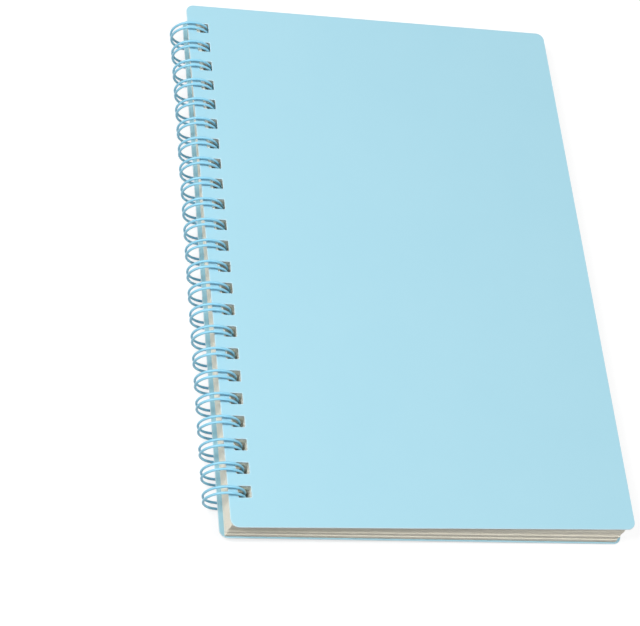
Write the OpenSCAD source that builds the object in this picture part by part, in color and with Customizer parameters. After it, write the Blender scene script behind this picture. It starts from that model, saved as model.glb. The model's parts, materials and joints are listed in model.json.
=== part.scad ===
// Side-bound notebook: two plastic covers and a block of leaves on a twin-loop wire.
// +X runs from the wire to the fore edge, +Y to the head and +Z up through the front cover.
// The origin is at the middle of the object's underside, where the loops touch the table.

/* [Covers] */
// Width of each cover, from spine edge to fore edge
cover_w = 144; // [105:1:220]
// Height of each cover, from tail to head
cover_h = 209; // [148:1:300]
// Thickness of each plastic cover
cover_t = 0.6; // [0.4:0.1:0.8]
// Radius of the covers' rounded corners; the leaves are cut square
corner_r = 3; // [2:0.5:8]
// Air between the leaves and each cover
cover_gap = 0.1; // [0.05:0.05:0.3]

/* [Leaves] */
// Thickness of all the leaves together
leaves_t = 8.6; // [7:0.1:11]
// How far the covers reach past the leaves at the fore edge
fore_inset = 4; // [1:0.5:6]
// How far the covers reach past the leaves at the head and at the tail
end_inset = 0.8; // [0.2:0.2:3]

/* [Holes] */
// Distance from one hole to the next, three to the inch
hole_pitch = 8.467; // [8.2:0.001:8.6]
// Width of a hole, across the spine
hole_w = 4.6; // [4.4:0.1:4.8]
// Margin between a sheet's spine edge and its holes
hole_margin = 3.3; // [3.1:0.1:3.4]
// Room beside each pair of wires in the height of a hole
hole_side_gap = 0.5; // [0.2:0.1:0.7]
// Least length of sheet beyond the first and the last hole's middle
end_margin = 9; // [6:0.5:12]
// How far the row of holes sits from the middle towards the head
row_shift = 1.2; // [0:0.1:2]

/* [Wire] */
// Thickness of the wire
wire_d = 0.9; // [0.8:0.05:1]
// Distance between the two wires of a pair, middle to middle
pair_gap = 2.2; // [2:0.1:2.4]
// Room inside the loops above the front cover
loop_rise = 1.05; // [0.9:0.05:1.1]
// How far the loops' axis lies below the middle of the closed book
axis_drop = 0.5; // [0.4:0.1:0.6]
// Radius of the bend from each loop into the link to the next pair
link_bend_r = 1; // [0.8:0.1:1.2]
// Gap left where the loops' tips close against the links
seam_gap = 0.2; // [0.1:0.1:0.5]

/* [Lie of the sheets] */
// Air between a cover's hole and the wire that it has slid up to
wire_gap = 0.1; // [0.1:0.05:0.2]
// How much further the front cover has slid to the spine at the head than at the tail
front_slip = 2.1; // [0:0.1:2.1]

/* [Hidden] */

// Roundness of the sheets' corners, the wire, the loops and the wire's bends
corner_fn = 64;
wire_fn = 24;
loop_fn = 96;
bend_fn = 48;

// Radius in the corners of a hole
hole_corner_r = 0.4;

// Thickness of the closed book over both covers
book_t = leaves_t + 2 * (cover_gap + cover_t);

// Heights of the sheets' faces, measured from the loops' axis
front_out_z = book_t / 2 + axis_drop;
front_in_z = front_out_z - cover_t;
leaves_top_z = front_in_z - cover_gap;
leaves_low_z = leaves_top_z - leaves_t;
back_in_z = leaves_low_z - cover_gap;
back_out_z = back_in_z - cover_t;

// Radii of a loop: inside, at the middle of the wire and outside
loop_in_r = front_out_z + loop_rise;
loop_r = loop_in_r + wire_d / 2;
loop_out_r = loop_in_r + wire_d;

// The wire draws a little thinner in its tight bends
bend_d = wire_d - 0.02;

// How far the loops and links run on inside the bends that they lead into
lap = 0.1;
lap_a = lap / loop_r * 180 / PI;

// Distance from the loops' axis, across the spine, of a circle of radius r at height z
function reach(r, z) = sqrt(r * r - z * z);

// The row of holes, evenly spaced
hole_count = floor((cover_h - 2 * end_margin) / hole_pitch) + 1;
row_len = (hole_count - 1) * hole_pitch;
hole_h = pair_gap + wire_d + 2 * hole_side_gap;

// Size of the leaves
leaf_w = cover_w - fore_inset;
leaf_h = cover_h - 2 * end_inset;

// Spine edges: the leaves are centred on the wire, the back cover has slid out to the spine
leaf_x = (reach(loop_in_r, leaves_top_z) + loop_out_r - hole_w) / 2 - hole_margin;
back_x = reach(loop_out_r, back_in_z) + wire_gap - hole_w - hole_margin;

// The front cover lies askew: its last hole touches the wire inside, its first one outside
front_tail_x = reach(loop_in_r, front_out_z) - 1.5 * wire_gap - hole_margin;
front_x = front_tail_x - front_slip / 2;
front_skew = asin(front_slip / row_len);

// Angles round the loops, from +X to +Z: the wire closes underneath, below the back cover
base_a = -84;
seam_len = link_bend_r + pair_gap / 2 + wire_d + seam_gap;
tip_a = base_a + seam_len / loop_r * 180 / PI;
link_len = hole_pitch - pair_gap - 2 * link_bend_r;

// Half the height of a cover, up to the middles of its rounded corners
corner_y = cover_h / 2 - corner_r;

// Outermost points of the askew front cover, whose row of holes turns about its own middle
front_far_x = front_x + (cover_w - corner_r) * cos(front_skew)
    + (corner_y + row_shift) * sin(front_skew) + corner_r;
front_far_y = (front_x + cover_w - corner_r) * sin(front_skew)
    + (corner_y - row_shift) * cos(front_skew) + corner_r;
low_y = -cover_h / 2 - row_shift;

// Place of the loops' axis and of the row's middle: the origin is below the whole object's middle
axis_x = (loop_out_r - max(front_far_x, back_x + cover_w)) / 2;
row_y = -(max(front_far_y, cover_h / 2 - row_shift) + low_y) / 2;
axis_z = loop_out_r;

// Middle of hole number i along the row
function hole_y(i) = i * hole_pitch - row_len / 2;

// Rectangle with round corners, from its lower left corner
module round_rect(w, h, r) {
    translate([r, 0]) square([w - 2 * r, h]);
    translate([0, r]) square([w, h - 2 * r]);
    for (x = [r, w - r], y = [r, h - r])
        translate([x, y]) circle(r = r, $fn = corner_fn);
}

// The row of holes, for sheets with their spine edge at x
module holes(x) {
    for (i = [0 : hole_count - 1])
        translate([x + hole_margin, hole_y(i) - hole_h / 2])
            round_rect(hole_w, hole_h, hole_corner_r);
}

// A punched cover, with its spine edge at x and its lower face at z
module cover(x, z) {
    translate([0, 0, z])
        linear_extrude(cover_t)
            difference() {
                translate([x, -cover_h / 2 - row_shift]) round_rect(cover_w, cover_h, corner_r);
                holes(x);
            }
}

// Moves a shape made at the origin to the loop at height y along the row, at angle a round it
module on_loop(y, a) {
    translate([0, y, 0])
        rotate([90, 0, 0])
            rotate([0, 0, a])
                translate([loop_r, 0, 0]) children();
}

// Wire bent to the radius r from one angle to another, flat against the loops' outside
module flat_bend(r, from, to) {
    rotate([0, 90, 0])
        rotate([0, 0, from])
            rotate_extrude(angle = to - from, $fn = bend_fn)
                translate([r, 0]) circle(d = bend_d, $fn = wire_fn);
}

// One wire of a pair, from its tip end round to its base end
module loop_wire(y) {
    translate([0, y, 0])
        rotate([90, 0, 0])
            rotate([0, 0, tip_a - lap_a])
                rotate_extrude(angle = 360 + base_a - tip_a + 2 * lap_a, $fn = loop_fn)
                    translate([loop_r, 0]) circle(d = wire_d, $fn = wire_fn);
}

// The pair of wires at hole i, joined by the rounded tip
module wire_pair(i) {
    for (side = [-1, 1])
        loop_wire(hole_y(i) + side * pair_gap / 2);
    on_loop(hole_y(i), tip_a) flat_bend(pair_gap / 2, 180, 360);
}

// Bend that leads out of pair i, towards the head
module bend_out(i) {
    on_loop(hole_y(i) + pair_gap / 2 + link_bend_r, base_a) flat_bend(link_bend_r, 90, 180);
}

// Bend that leads into pair i, from the tail
module bend_in(i) {
    on_loop(hole_y(i) - pair_gap / 2 - link_bend_r, base_a) flat_bend(link_bend_r, 0, 90);
}

// Straight link along the spine, from the bend out of pair i to the bend into the next
module link(i) {
    on_loop(hole_y(i) + pair_gap / 2 + link_bend_r + link_len, base_a)
        translate([0, link_bend_r, -lap])
            cylinder(d = wire_d, h = link_len + 2 * lap, $fn = wire_fn);
}

// Moves a piece from the loops' axis to its place in the object's frame
module placed() {
    translate([axis_x, row_y, axis_z]) children();
}

module back_cover() {
    color("lightblue") placed() cover(back_x, back_out_z);
}

module pages() {
    color("cornsilk")
        placed()
            translate([0, 0, leaves_low_z])
                linear_extrude(leaves_t)
                    difference() {
                        translate([leaf_x, -leaf_h / 2 - row_shift]) square([leaf_w, leaf_h]);
                        holes(leaf_x);
                    }
}

module front_cover() {
    color("lightblue")
        placed()
            translate([front_x, 0, 0])
                rotate([0, 0, front_skew]) cover(0, front_in_z);
}

module twin_wire() {
    color("skyblue")
        placed() {
            for (i = [0 : hole_count - 1]) wire_pair(i);
            for (i = [0 : hole_count - 2]) bend_out(i);
            for (i = [1 : hole_count - 1]) bend_in(i);
            for (i = [0 : hole_count - 2]) link(i);
        }
}

back_cover();
pages();
front_cover();
twin_wire();
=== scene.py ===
"""Looks of a side-bound notebook: two plastic covers, a block of cream leaves and a coated twin-loop wire.

Shapes are worked out in millimetres about the middle of the row of holes, on the loops' axis, with +X to the
fore edge, +Y to the head and +Z up through the front cover. place_mesh() moves them to the part's frame.
"""

import json
import math

import bpy
import numpy as np
from mathutils import Matrix, Vector

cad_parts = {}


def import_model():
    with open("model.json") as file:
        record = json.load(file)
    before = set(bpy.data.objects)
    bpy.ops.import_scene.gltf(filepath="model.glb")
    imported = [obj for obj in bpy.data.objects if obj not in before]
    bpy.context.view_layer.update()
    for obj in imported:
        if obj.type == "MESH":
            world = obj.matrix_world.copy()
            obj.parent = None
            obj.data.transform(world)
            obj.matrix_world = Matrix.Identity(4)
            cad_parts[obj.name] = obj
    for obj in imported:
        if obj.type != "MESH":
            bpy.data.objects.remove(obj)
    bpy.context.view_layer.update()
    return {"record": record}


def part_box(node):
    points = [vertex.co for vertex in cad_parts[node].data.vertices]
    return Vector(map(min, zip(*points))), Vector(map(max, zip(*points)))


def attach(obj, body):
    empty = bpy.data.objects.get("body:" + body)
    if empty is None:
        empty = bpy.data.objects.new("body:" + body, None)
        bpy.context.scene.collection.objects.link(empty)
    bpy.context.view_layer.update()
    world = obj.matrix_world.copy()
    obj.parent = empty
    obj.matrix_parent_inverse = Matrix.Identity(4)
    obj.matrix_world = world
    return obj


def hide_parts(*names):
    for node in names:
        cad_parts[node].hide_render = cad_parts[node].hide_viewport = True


MM = 0.001

# Covers and leaves
COVER_W, COVER_H, COVER_T = 144.0, 209.0, 0.6
CORNER_R = 3.0
EDGE_R = 0.25
COVER_GAP = 0.1
LEAVES_T = 8.6
FORE_INSET, END_INSET = 4.0, 0.8

# Row of holes
HOLE_COUNT = 23
HOLE_PITCH = 8.467
HOLE_W, HOLE_H, HOLE_R = 4.6, 4.1, 0.4
HOLE_MARGIN = 3.3
ROW_SHIFT = 1.2
ROW_LEN = (HOLE_COUNT - 1) * HOLE_PITCH

# Middles of the holes along the row, and the borders between their cells
HOLE_Y = (np.arange(HOLE_COUNT) - (HOLE_COUNT - 1) / 2) * HOLE_PITCH
BORDER_Y = (np.arange(HOLE_COUNT + 1) - HOLE_COUNT / 2) * HOLE_PITCH

# Heights of the sheets' faces, where the loops' axis lies a little below the middle of the closed book
AXIS_DROP = 0.5
FRONT_OUT_Z = LEAVES_T / 2 + COVER_GAP + COVER_T + AXIS_DROP
FRONT_IN_Z = FRONT_OUT_Z - COVER_T
LEAVES_TOP_Z = FRONT_IN_Z - COVER_GAP
LEAVES_LOW_Z = LEAVES_TOP_Z - LEAVES_T
BACK_IN_Z = LEAVES_LOW_Z - COVER_GAP
BACK_OUT_Z = BACK_IN_Z - COVER_T

# Twin-loop wire, with its angles from +X to +Z, and the share of its thickness that is left at a cut end
WIRE_D = 0.9
PAIR_GAP = 2.2
BEND_R = 1.0
SEAM_GAP = 0.2
LOOP_RISE = 1.05
LOOP_IN_R = FRONT_OUT_Z + LOOP_RISE
LOOP_R = LOOP_IN_R + WIRE_D / 2
LOOP_OUT_R = LOOP_IN_R + WIRE_D
BASE_A = -84.0
TIP_A = BASE_A + math.degrees((BEND_R + PAIR_GAP / 2 + WIRE_D + SEAM_GAP) / LOOP_R)
CUT_END = 0.8

# How the covers lie on the wire: the front one askew, the back one slid out to the spine
WIRE_GAP = 0.1
FRONT_SLIP = 2.1


def reach(radius, z):
    """Half of the chord at height z: sqrt(radius^2 - z^2)."""
    return math.sqrt(radius * radius - z * z)


LEAF_X = (reach(LOOP_IN_R, LEAVES_TOP_Z) + LOOP_OUT_R - HOLE_W) / 2 - HOLE_MARGIN
BACK_X = reach(LOOP_OUT_R, BACK_IN_Z) + WIRE_GAP - HOLE_W - HOLE_MARGIN
FRONT_X = reach(LOOP_IN_R, FRONT_OUT_Z) - 1.5 * WIRE_GAP - HOLE_MARGIN - FRONT_SLIP / 2
FRONT_SKEW = math.asin(FRONT_SLIP / ROW_LEN)

# How the leaves lie: the leaves in each lot from the lowest up, and how far each lot has slipped to the head
LOT_LEAVES = (19, 23, 44)
LOT_SLIPS = (-0.32, -0.12, 0.1)
LEAF_COUNT = sum(LOT_LEAVES)

# How far all the leaves have slid to the spine, and the turn of the top one in degrees
LEAVES_SLID = 0.25
LEAVES_TURN = 0.28

# Stray of single leaves, and the waves (size, rate from leaf to leaf, start) of their slow wander
LEAF_STRAY = 0.02
WANDER_X = ((0.05, 0.19, 0.6), (0.03, 0.53, 0.0))
WANDER_Y = ((0.04, 0.23, 2.0), (0.03, 0.61, 1.0))

# Radius of the leaves' corners, and how far each leaf's edges are drawn in to leave room for the strays
LEAF_CORNER_R, LEAF_INSET = 0.12, 0.06

# Fineness of the sheets: steps in the corners of covers, leaves and holes, and points over a cover's edge
COVER_STEPS, LEAF_STEPS, HOLE_STEPS = 10, 1, 3
EDGE_POINTS = 7

# Fineness of the wire: points along a loop and a link, steps in a tip and a bend, sides of the round
LOOP_POINTS, LINK_POINTS = 73, 6
TIP_STEPS, BEND_STEPS = 12, 8
WIRE_SIDES = 14

# Camera: place and aim in millimetres in the part's frame, roll in degrees, lens on a 36 mm wide picture
CAMERA_PLACE = (-221.21, -338.521, 589.043)
CAMERA_AIM = (-30.239, -15.147, 0.0)
CAMERA_ROLL = 29.2724
CAMERA_LENS = 110.162
CAMERA_SHIFT = (0.018156, -0.010188)

# Colours, as 8-bit red, green and blue
# The covers' third colour, on their cut edges, is painted light: it stands in for light glowing through the
# translucent plastic.
COVER_LOW, COVER_HIGH, COVER_EDGE_GLOW = (166, 215, 231), (171, 218, 233), (228, 246, 252)
PAPER_LOW, PAPER_HIGH = (243, 239, 222), (250, 247, 234)
EDGE_LOW, EDGE_HIGH = (233, 227, 211), (254, 251, 242)
WIRE_LOW, WIRE_HIGH = (144, 212, 240), (154, 221, 246)
FLOOR_COLOUR = (150, 150, 150)

# Strength of the world's light, and of the floor's own glow in the camera's and in mirrored rays
WORLD_LIGHT = 0.33
FLOOR_GLOW = 0.77

# Where the floor begins to fall away beyond the spine, from the loops' axis, and by how many degrees
FOLD_X = -22.0
FLOOR_FALL = 9.0


def place_mesh(name, points, faces, origin, smooth):
    """Object whose mesh has the points moved by origin and changed from millimetres to metres."""
    mesh = bpy.data.meshes.new(name)
    mesh.from_pydata(((points + origin) * MM).tolist(), [], faces)
    mesh.polygons.foreach_set("use_smooth", np.full(len(mesh.polygons), smooth))
    mesh.validate()
    piece = bpy.data.objects.new(name, mesh)
    bpy.context.scene.collection.objects.link(piece)
    return piece


def round_rectangle(width, height, radius, steps):
    """Points and outward normals of a rounded rectangle about its middle, counter-clockwise.

    Corner q is centre + radius n, where n = (cos a, sin a) and a runs from 90 q to 90 (q + 1) degrees.
    """
    quarter = np.repeat(np.arange(4), steps + 1)
    angle = np.radians(90 * quarter + np.tile(np.linspace(0, 90, steps + 1), 4))
    side = np.array([(1, 1), (-1, 1), (-1, -1), (1, -1)])[quarter]
    normal = np.c_[np.cos(angle), np.sin(angle)]
    return side * (width / 2 - radius, height / 2 - radius) + radius * normal, normal


def punched_rings(spine_x, width, height, corner_r, corner_steps):
    """Points and outward normals of a sheet's outline and then of its holes, and how many each of them has.

    On the spine edge the outline has a point at each border between the holes' cells, from head to tail.
    """
    edge, edge_n = round_rectangle(width, height, corner_r, corner_steps)
    half = len(edge) // 2
    borders = np.c_[np.full(HOLE_COUNT + 1, -width / 2), BORDER_Y[::-1] + ROW_SHIFT]
    to_spine = np.tile((-1.0, 0.0), (HOLE_COUNT + 1, 1))
    outline = np.concatenate([edge[:half], borders, edge[half:]]) + (spine_x + width / 2, -ROW_SHIFT)
    outline_n = np.concatenate([edge_n[:half], to_spine, edge_n[half:]])
    hole, hole_n = round_rectangle(HOLE_W, HOLE_H, HOLE_R, HOLE_STEPS)
    hole_at = np.c_[np.full(HOLE_COUNT, spine_x + HOLE_MARGIN + HOLE_W / 2), HOLE_Y]
    holes = (hole_at[:, None] + hole[None]).reshape(-1, 2)
    points = np.concatenate([outline, holes])
    normals = np.concatenate([outline_n, np.tile(-hole_n, (HOLE_COUNT, 1))])
    return points, normals, len(outline), len(hole)


def ring_walls(first, count, level_count, level_size, inward):
    """Quads between the copies of one closed ring of points on successive levels."""
    here = first + np.arange(count)
    after = np.roll(here, -1)
    quad = np.stack([here, after, after + level_size, here + level_size], axis=1)
    quad = quad[:, ::-1] if inward else quad
    return (quad[None] + level_size * np.arange(level_count - 1)[:, None, None]).reshape(-1, 4)


def punched_face(start, right, outline_size, hole_size):
    """Faces of one flat side, as seen from above, whose outline begins at start.

    A cell lies between two borders, from the spine edge to the points named by right. The arc at each corner
    of its hole is joined to the cell's corner by a fan, and each straight side of the hole to that of the
    cell by a quad. The rest is one polygon that goes round the row of cells.
    """
    half = (outline_size - HOLE_COUNT - 1) // 2
    left = start + half + np.arange(HOLE_COUNT + 1)[::-1]
    near = start + outline_size + np.arange(HOLE_COUNT * hole_size).reshape(HOLE_COUNT, 4, -1)
    corner = np.stack([right[1:], left[1:], left[:-1], right[:-1]], axis=1)
    far = np.broadcast_to(corner[..., None], near[..., 1:].shape)
    fans = np.stack([far, near[..., 1:], near[..., :-1]], axis=-1)
    next_corner, next_near = np.roll(corner, -1, 1), np.roll(near[..., 0], -1, 1)
    beside = np.stack([corner, next_corner, next_near, near[..., -1]], axis=-1)
    before, after = start + np.arange(half), start + np.arange(half + HOLE_COUNT + 1, outline_size)
    rest = np.concatenate([before, left[-1:], right[::-1], left[:1], after])
    return fans.reshape(-1, 3).tolist() + beside.reshape(-1, 4).tolist() + [rest.tolist()]


def punched_sheet(spine_x, width, height, corner_r, corner_steps, levels):
    """Points and faces of a sheet with the row of holes, lofted through levels (z, inset, shift x, shift y).

    On each level a point is p - inset n + shift, where n points out of the material. The cells' borders
    beyond the holes come last, those of the low face before those of the high one.
    """
    base, normal, outline_size, hole_size = punched_rings(spine_x, width, height, corner_r, corner_steps)
    level_size, level_count = len(base), len(levels)
    z, inset, shift = levels[:, 0], levels[:, 1], levels[:, 2:]
    flat = base[None] - inset[:, None, None] * normal[None] + shift[:, None]
    body = np.concatenate([flat, np.broadcast_to(z[:, None, None], (level_count, level_size, 1))], axis=2)
    cells = np.c_[np.full(HOLE_COUNT + 1, spine_x + HOLE_W + 2 * HOLE_MARGIN), BORDER_Y]
    beyond = [np.c_[cells + shift[end], np.full(HOLE_COUNT + 1, z[end])] for end in (0, -1)]
    points = np.concatenate([body.reshape(-1, 3), *beyond])

    faces = ring_walls(0, outline_size, level_count, level_size, False).tolist()
    for first in range(outline_size, level_size, hole_size):
        faces += ring_walls(first, hole_size, level_count, level_size, True).tolist()
    low_right = level_size * level_count + np.arange(HOLE_COUNT + 1)
    high_right = low_right + HOLE_COUNT + 1
    faces += [face[::-1] for face in punched_face(0, low_right, outline_size, hole_size)]
    faces += punched_face(level_size * (level_count - 1), high_right, outline_size, hole_size)
    return points, faces


def cover_levels(z):
    """Levels of a cover whose edges are rounded: inset = r (1 - sin a), height = r (1 - cos a)."""
    a = np.radians(np.linspace(0, 90, EDGE_POINTS))
    inset, rise = EDGE_R * (1 - np.sin(a)), EDGE_R * (1 - np.cos(a))
    height = np.concatenate([z + rise, z + COVER_T - rise[::-1]])
    return np.c_[height, np.concatenate([inset, inset[::-1]]), np.zeros((len(height), 2))]


def front_cover_skin(origin):
    """Front cover, turned by the skew about its spine edge at the row's middle: p' = R(skew) p + (x, 0)."""
    levels = cover_levels(FRONT_IN_Z)
    points, faces = punched_sheet(0.0, COVER_W, COVER_H, CORNER_R, COVER_STEPS, levels)
    c, s = math.cos(FRONT_SKEW), math.sin(FRONT_SKEW)
    turned = points @ np.array([(c, s, 0), (-s, c, 0), (0, 0, 1)]) + (FRONT_X, 0, 0)
    return place_mesh("front_cover_skin", turned, faces, origin, False)


def back_cover_skin(origin):
    """Back cover, straight on the row of loops."""
    levels = cover_levels(BACK_OUT_Z)
    points, faces = punched_sheet(BACK_X, COVER_W, COVER_H, CORNER_R, COVER_STEPS, levels)
    return place_mesh("back_cover_skin", points, faces, origin, False)


def wander(number, waves):
    """Slow change from leaf to leaf: the sum of size sin(rate number + start) over the waves."""
    return sum(size * np.sin(number * rate + start) for size, rate, start in waves)


def leaves_block(origin):
    """Block of leaves: each is two equal levels, moved by the slow wander plus a small stray of its own.

    The leaves have also slid a little to the spine, and along it in lots. From the lowest leaf to the top
    one they turn more and more with the front cover, by the small angle t about the middle of the row:
    (x, y) goes to (x - t y, y + t x), with t in proportion to the height.
    """
    rng = np.random.default_rng(7)
    number = np.arange(LEAF_COUNT)
    x = wander(number, WANDER_X) + rng.normal(0, LEAF_STRAY, LEAF_COUNT) - LEAVES_SLID
    y = wander(number, WANDER_Y) + rng.normal(0, LEAF_STRAY, LEAF_COUNT) + np.repeat(LOT_SLIPS, LOT_LEAVES)
    z = LEAVES_LOW_Z + LEAVES_T * np.stack([number, number + 1], axis=1) / LEAF_COUNT
    levels = np.c_[z.ravel(), np.full(2 * LEAF_COUNT, LEAF_INSET), np.repeat(x, 2), np.repeat(y, 2)]
    width, height = COVER_W - FORE_INSET, COVER_H - 2 * END_INSET
    points, faces = punched_sheet(LEAF_X, width, height, LEAF_CORNER_R, LEAF_STEPS, levels)
    turn = math.radians(LEAVES_TURN) * (points[:, 2] - LEAVES_LOW_Z) / LEAVES_T
    turned = np.c_[points[:, 0] - turn * points[:, 1], points[:, 1] + turn * points[:, 0], points[:, 2]]
    return place_mesh("leaves_block", turned, faces, origin, False)


def wire_run(angle, y, lift):
    """Centre and radial direction of the wire where it follows the loops: R u(a) + y e + lift t.

    a is the angle in degrees, u(a) = (cos a, 0, sin a) points out of the loop, e = (0, 1, 0) along the row
    and t = (-sin a, 0, cos a) along the loop.
    """
    angle, y, lift = np.broadcast_arrays(np.radians(angle), y, lift)
    radial = np.c_[np.cos(angle), np.zeros(len(y)), np.sin(angle)]
    along = np.c_[-np.sin(angle), np.zeros(len(y)), np.cos(angle)]
    return LOOP_R * radial + lift[:, None] * along + np.c_[0 * y, y, 0 * y], radial


def wire_bend(angle, y, radius, start, end, steps):
    """Inner points of a bend about y, in the plane that touches the loops: y + r cos b, lift r sin b."""
    b = np.radians(np.linspace(start, end, steps + 1))[1:-1]
    return wire_run(np.full(len(b), angle), y + radius * np.cos(b), radius * np.sin(b))


def wire_centreline():
    """Centre, radial direction and tangent of the whole wire, from its cut end at the tail to the head's.

    A pair is a loop round to the tip, the round tip, and a loop back. A bend, a straight link and a second
    bend lead on to the next pair.
    """
    top = 360 + BASE_A
    half = PAIR_GAP / 2
    out_y, in_y = half + BEND_R, HOLE_PITCH - half - BEND_R
    pair = [
        wire_run(np.linspace(top, TIP_A, LOOP_POINTS), -half, 0.0),
        wire_bend(TIP_A, 0.0, half, 180, 360, TIP_STEPS),
        wire_run(np.linspace(TIP_A, top, LOOP_POINTS), half, 0.0),
    ]
    link = [
        wire_bend(BASE_A, out_y, BEND_R, 180, 90, BEND_STEPS),
        wire_run(np.full(LINK_POINTS, BASE_A), np.linspace(out_y, in_y, LINK_POINTS), BEND_R),
        wire_bend(BASE_A, in_y, BEND_R, 90, 0, BEND_STEPS),
    ]
    centre, radial = (np.concatenate(parts) for parts in zip(*pair, *link))
    used = len(centre) * (HOLE_COUNT - 1) + sum(len(part[0]) for part in pair)
    step = np.c_[0 * HOLE_Y, HOLE_Y, 0 * HOLE_Y]
    centre = (centre[None] + step[:, None]).reshape(-1, 3)[:used]
    radial = np.tile(radial, (HOLE_COUNT, 1))[:used]
    tangent = np.gradient(centre, axis=0)
    return centre, radial, tangent / np.linalg.norm(tangent, axis=1)[:, None]


def coated_wire(origin):
    """Round tube along the centreline, drawn in a little at its cut ends.

    A point of it is centre + r (cos f u + sin f (t x u)), with u the radial direction and t the tangent.
    """
    centre, radial, tangent = wire_centreline()
    side = np.cross(tangent, radial)
    radius = np.full(len(centre), WIRE_D / 2)
    radius[[0, -1]] *= CUT_END
    f = np.arange(WIRE_SIDES) * 2 * math.pi / WIRE_SIDES
    spokes = np.cos(f)[None, :, None] * radial[:, None] + np.sin(f)[None, :, None] * side[:, None]
    points = (centre[:, None] + radius[:, None, None] * spokes).reshape(-1, 3)
    quads = ring_walls(0, WIRE_SIDES, len(centre), WIRE_SIDES, False)
    ring = np.arange(WIRE_SIDES)
    faces = quads.tolist() + [ring[::-1].tolist(), (ring + len(points) - WIRE_SIDES).tolist()]
    return place_mesh("twin_wire_coated", points, faces, origin, True)


def linear(colour):
    """Linear colour of an 8-bit screen colour: ((c + 0.055) / 1.055)^2.4."""
    return (*(((c / 255 + 0.055) / 1.055) ** 2.4 for c in colour), 1.0)


def add_node(tree, kind, values=None, **settings):
    """New node with the given input values by socket name or number, and the given settings."""
    made = tree.nodes.new(kind)
    for key, value in settings.items():
        setattr(made, key, value)
    for key, value in (values or {}).items():
        made.inputs[key].default_value = value
    return made


def blend_colours(tree, factor, first, second):
    """Mix of two colours, each an 8-bit one or a linked one, by a linked factor.

    Several of the Mix node's sockets share a name, so they are found by number: 0 is the factor, 6 and 7 are
    the colours, and output 2 is their mix.
    """
    mix = add_node(tree, "ShaderNodeMix", data_type="RGBA")
    tree.links.new(factor, mix.inputs[0])
    for socket, colour in ((mix.inputs[6], first), (mix.inputs[7], second)):
        if isinstance(colour, tuple):
            socket.default_value = linear(colour)
        else:
            tree.links.new(colour, socket)
    return mix.outputs[2]


def scaled(tree, value, factor, offset):
    """Linked value times factor plus offset."""
    made = add_node(tree, "ShaderNodeMath", {1: factor, 2: offset}, operation="MULTIPLY_ADD")
    tree.links.new(value, made.inputs[0])
    return made.outputs[0]


def new_group(name, inputs, outputs):
    """Empty shader node group with named inputs (name, default) and outputs (name, socket type)."""
    group = bpy.data.node_groups.new(name, "ShaderNodeTree")
    for label, value in inputs:
        socket = group.interface.new_socket(label, in_out="INPUT", socket_type="NodeSocketFloat")
        socket.default_value = value
    for label, kind in outputs:
        group.interface.new_socket(label, in_out="OUTPUT", socket_type=kind)
    return group, group.nodes.new("NodeGroupInput"), group.nodes.new("NodeGroupOutput")


def grain_group():
    """Fine grain of a surface: a noise of Scale per metre, and the normal of its relief, Depth in metres."""
    inputs = (("Scale", 1000.0), ("Depth", 0.00002))
    outputs = (("Grain", "NodeSocketFloat"), ("Normal", "NodeSocketVector"))
    group, given, result = new_group("fine_grain", inputs, outputs)
    links = group.links
    place = add_node(group, "ShaderNodeTexCoord").outputs["Object"]
    noise = add_node(group, "ShaderNodeTexNoise", {"Detail": 3.0, "Roughness": 0.6})
    relief = add_node(group, "ShaderNodeBump", {"Strength": 0.35})
    links.new(place, noise.inputs["Vector"])
    links.new(given.outputs["Scale"], noise.inputs["Scale"])
    links.new(noise.outputs["Fac"], relief.inputs["Height"])
    links.new(given.outputs["Depth"], relief.inputs["Distance"])
    links.new(noise.outputs["Fac"], result.inputs["Grain"])
    links.new(relief.outputs["Normal"], result.inputs["Normal"])
    return group


def face_group():
    """Mask that is 1 on a sheet's flat faces and falls to 0 on its cut edges: |height of the normal|^4."""
    group, _, result = new_group("flat_face", (), (("Mask", "NodeSocketFloat"),))
    split = add_node(group, "ShaderNodeSeparateXYZ")
    upright = add_node(group, "ShaderNodeMath", operation="ABSOLUTE")
    sharp = add_node(group, "ShaderNodeMath", {1: 4.0}, operation="POWER")
    group.links.new(add_node(group, "ShaderNodeTexCoord").outputs["Normal"], split.inputs[0])
    group.links.new(split.outputs["Z"], upright.inputs[0])
    group.links.new(upright.outputs[0], sharp.inputs[0])
    group.links.new(sharp.outputs[0], result.inputs["Mask"])
    return group


def new_material(name):
    """Material with its node tree and its Principled shader."""
    material = bpy.data.materials.new(name)
    material.use_nodes = True
    return material, material.node_tree, material.node_tree.nodes["Principled BSDF"]


def placed_grain(tree, grain, scale, depth):
    """Grain group in a material, with its own scale per metre and depth in metres."""
    fine = add_node(tree, "ShaderNodeGroup", node_tree=grain)
    fine.inputs["Scale"].default_value = scale
    fine.inputs["Depth"].default_value = depth
    return fine


def streaks(tree, scale):
    """Noise on Object coordinates, drawn out by the three scales per metre."""
    place = add_node(tree, "ShaderNodeTexCoord").outputs["Object"]
    stretch = add_node(tree, "ShaderNodeMapping", {"Scale": scale})
    noise = add_node(tree, "ShaderNodeTexNoise", {"Scale": 1.0, "Detail": 3.0, "Roughness": 0.65})
    tree.links.new(place, stretch.inputs["Vector"])
    tree.links.new(stretch.outputs["Vector"], noise.inputs["Vector"])
    return noise.outputs["Fac"]


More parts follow.
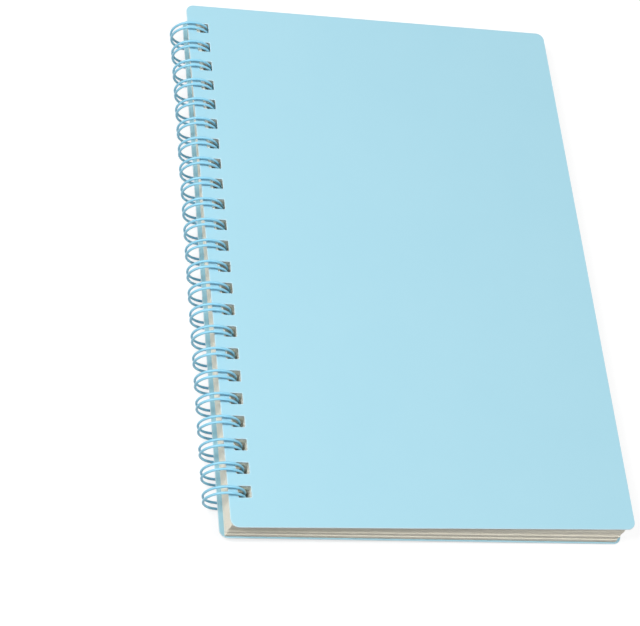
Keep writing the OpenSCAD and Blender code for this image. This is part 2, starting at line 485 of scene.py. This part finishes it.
def cover_plastic(grain, flat_face):
    """Light-blue polypropylene: faint cloudiness, very fine matt grain, and a painted glow of light on its
    cut edges.
    """
    material, tree, shader = new_material("cover_plastic")
    fine = placed_grain(tree, grain, 5200.0, 0.00002)
    mask = add_node(tree, "ShaderNodeGroup", node_tree=flat_face).outputs["Mask"]
    face = blend_colours(tree, streaks(tree, (28.0, 28.0, 28.0)), COVER_LOW, COVER_HIGH)
    # The cut edges take the pale edge colour, which paints the light glowing through the translucent
    # plastic.
    tree.links.new(blend_colours(tree, mask, COVER_EDGE_GLOW, face), shader.inputs["Base Color"])
    tree.links.new(scaled(tree, fine.outputs["Grain"], 0.16, 0.40), shader.inputs["Roughness"])
    tree.links.new(fine.outputs["Normal"], shader.inputs["Normal"])
    shader.inputs["IOR"].default_value = 1.49
    return material


def cream_paper(grain, flat_face):
    """Uncoated cream paper: soft fibre mottling, and on the cut edges thin streaks along the leaves."""
    material, tree, shader = new_material("cream_paper")
    fibre = placed_grain(tree, grain, 900.0, 0.00003)
    mask = add_node(tree, "ShaderNodeGroup", node_tree=flat_face).outputs["Mask"]
    sheet = blend_colours(tree, fibre.outputs["Grain"], PAPER_LOW, PAPER_HIGH)
    edge = blend_colours(tree, streaks(tree, (12.0, 12.0, 3200.0)), EDGE_LOW, EDGE_HIGH)
    tree.links.new(blend_colours(tree, mask, edge, sheet), shader.inputs["Base Color"])
    tree.links.new(fibre.outputs["Normal"], shader.inputs["Normal"])
    shader.inputs["Roughness"].default_value = 0.85
    shader.inputs["Specular IOR Level"].default_value = 0.25
    return material


def wire_coat(grain):
    """Sky-blue coat on steel wire: satin, with slight changes of tone and gloss along it."""
    material, tree, shader = new_material("wire_coat")
    fine = placed_grain(tree, grain, 2600.0, 0.00001)
    tone = streaks(tree, (320.0, 320.0, 320.0))
    tree.links.new(blend_colours(tree, tone, WIRE_LOW, WIRE_HIGH), shader.inputs["Base Color"])
    tree.links.new(scaled(tree, tone, 0.14, 0.24), shader.inputs["Roughness"])
    tree.links.new(fine.outputs["Normal"], shader.inputs["Normal"])
    shader.inputs["IOR"].default_value = 1.52
    return material


def seen_or_mirrored(tree):
    """1 for the camera's own rays and for mirrored ones, 0 for those that only light the object."""
    ray = add_node(tree, "ShaderNodeLightPath")
    either = add_node(tree, "ShaderNodeMath", operation="MAXIMUM")
    tree.links.new(ray.outputs["Is Camera Ray"], either.inputs[0])
    tree.links.new(ray.outputs["Is Glossy Ray"], either.inputs[1])
    return either.outputs[0]


def white_floor(origin):
    """Floor that touches the loops and the back cover's fore edge, tilted by asin(R / d) - atan(h / w).

    w and h are the fore edge's distance and depth from the loops' axis, and d = sqrt(w^2 + h^2). Beyond the
    spine, from FOLD_X on, it falls away, so that the front cover clears it when it is fully open.
    """
    far, clearance = 3000.0, 0.005
    edge_x, edge_z = BACK_X + COVER_W, BACK_OUT_Z
    tilt = math.asin(LOOP_OUT_R / math.hypot(edge_x, edge_z)) - math.atan2(-edge_z, edge_x)
    fall = math.radians(FLOOR_FALL)
    fold_z = edge_z - clearance - (edge_x - FOLD_X) * math.tan(tilt)
    profile = np.array([
        (FOLD_X - far * math.cos(fall), fold_z - far * math.sin(fall)),
        (FOLD_X, fold_z),
        (FOLD_X + far * math.cos(tilt), fold_z + far * math.sin(tilt)),
    ])
    points = np.concatenate([np.c_[profile[:, 0], np.full(3, y), profile[:, 1]] for y in (-far, far)])
    floor = place_mesh("floor", points, [(0, 1, 4, 3), (1, 2, 5, 4)], origin, False)
    material, tree, shader = new_material("white_floor")
    shader.inputs["Base Color"].default_value = linear(FLOOR_COLOUR)
    shader.inputs["Roughness"].default_value = 0.9
    shader.inputs["Specular IOR Level"].default_value = 0.1
    shader.inputs["Emission Color"].default_value = (1, 1, 1, 1)
    glow = scaled(tree, seen_or_mirrored(tree), FLOOR_GLOW, 0.0)
    tree.links.new(glow, shader.inputs["Emission Strength"])
    floor.data.materials.append(material)


def soft_light(name, place, size, power):
    """Square lamp at a place in metres, aimed at the middle of the object."""
    lamp = bpy.data.lights.new(name, "AREA")
    lamp.size = size
    lamp.energy = power
    held = bpy.data.objects.new(name, lamp)
    aim = (-Vector(place)).to_track_quat("-Z", "Y").to_matrix().to_4x4()
    held.matrix_world = Matrix.Translation(place) @ aim
    bpy.context.scene.collection.objects.link(held)


def studio_light():
    """High lamp a little beyond the fore edge and a nearer one at the spine, in an even world.

    The world lights the object at WORLD_LIGHT, and is white to the camera and in mirrored rays.
    """
    soft_light("overhead", place=(1.2, -0.5, 3.4), size=0.5, power=44.0)
    soft_light("spine_side", place=(-0.6, -0.06, 0.7), size=0.35, power=4.5)
    world = bpy.data.worlds.new("studio")
    world.use_nodes = True
    tree = world.node_tree
    backdrop = tree.nodes["Background"]
    backdrop.inputs["Color"].default_value = (1, 1, 1, 1)
    strength = scaled(tree, seen_or_mirrored(tree), 1.0 - WORLD_LIGHT, WORLD_LIGHT)
    tree.links.new(strength, backdrop.inputs["Strength"])
    bpy.context.scene.world = world


def photo_camera():
    """Camera that looks from its place to its aim, rolled about that line from the upright."""
    lens = bpy.data.cameras.new("camera")
    lens.sensor_width = 36.0
    lens.lens = CAMERA_LENS
    lens.shift_x, lens.shift_y = CAMERA_SHIFT
    lens.clip_start, lens.clip_end = 0.05, 20
    place = Vector(CAMERA_PLACE) * MM
    forward = (Vector(CAMERA_AIM) * MM - place).normalized()
    level = forward.cross(Vector((0, 0, 1))).normalized()
    upright = level.cross(forward)
    roll = math.radians(CAMERA_ROLL)
    right = level * math.cos(roll) + upright * math.sin(roll)
    up = upright * math.cos(roll) - level * math.sin(roll)
    held = bpy.data.objects.new("camera", lens)
    held.matrix_world = Matrix.Translation(place) @ Matrix((right, up, -forward)).transposed().to_4x4()
    bpy.context.scene.collection.objects.link(held)
    bpy.context.scene.camera = held


def row_origin(frame):
    """Middle of the row on the loops' axis, in millimetres: the hinge's x and z, and the wire's middle y."""
    hinge = frame["record"]["behaviour"]["joints"][0]["pos_m"]
    low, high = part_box("twin_wire")
    return np.array([hinge[0], (low[1] + high[1]) / 2, hinge[2]]) / MM


def dress(piece, body, node, material):
    """Give a piece its material, and let it ride on a body in place of a node."""
    piece.data.materials.append(material)
    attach(piece, body)
    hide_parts(node)


def main():
    """Dress the four nodes, set up floor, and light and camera."""
    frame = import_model()
    bpy.context.scene.view_settings.view_transform = "Standard"
    origin = row_origin(frame)
    grain, flat_face = grain_group(), face_group()
    plastic = cover_plastic(grain, flat_face)
    dress(front_cover_skin(origin), "front", "front_cover", plastic)
    dress(back_cover_skin(origin), "block", "back_cover", plastic)
    dress(leaves_block(origin), "block", "pages", cream_paper(grain, flat_face))
    dress(coated_wire(origin), "block", "twin_wire", wire_coat(grain))
    white_floor(origin)
    studio_light()
    photo_camera()


main()
